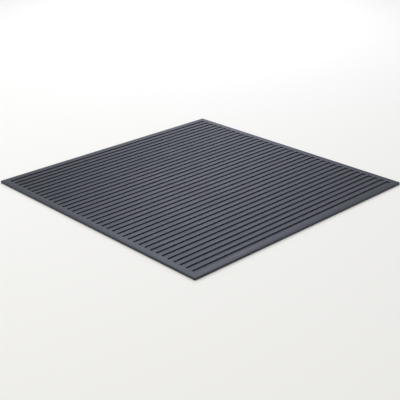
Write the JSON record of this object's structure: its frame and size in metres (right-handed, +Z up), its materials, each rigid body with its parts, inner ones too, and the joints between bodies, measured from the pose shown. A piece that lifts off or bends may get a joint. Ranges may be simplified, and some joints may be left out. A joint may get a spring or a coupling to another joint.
{
  "type": "electrical insulating mat",
  "caption": "Flat square sheet of moulded black rubber with straight parallel channels in its top face inside a plain border, laid on the floor as electrical insulation to stand on.",
  "frame": {"origin": "centre of the underside, on the floor", "axes": "+Z up through the sheet's thickness, +Y along the channels, +X across the channels"},
  "size_m": [0.75, 0.75, 0.006],
  "materials": {
    "rubber": "moulded dark bluish-grey rubber with a dull satin surface"
  },
  "bodies": {
    "root": {"rubber_mat": "rubber"}
  },
  "joints": []
}
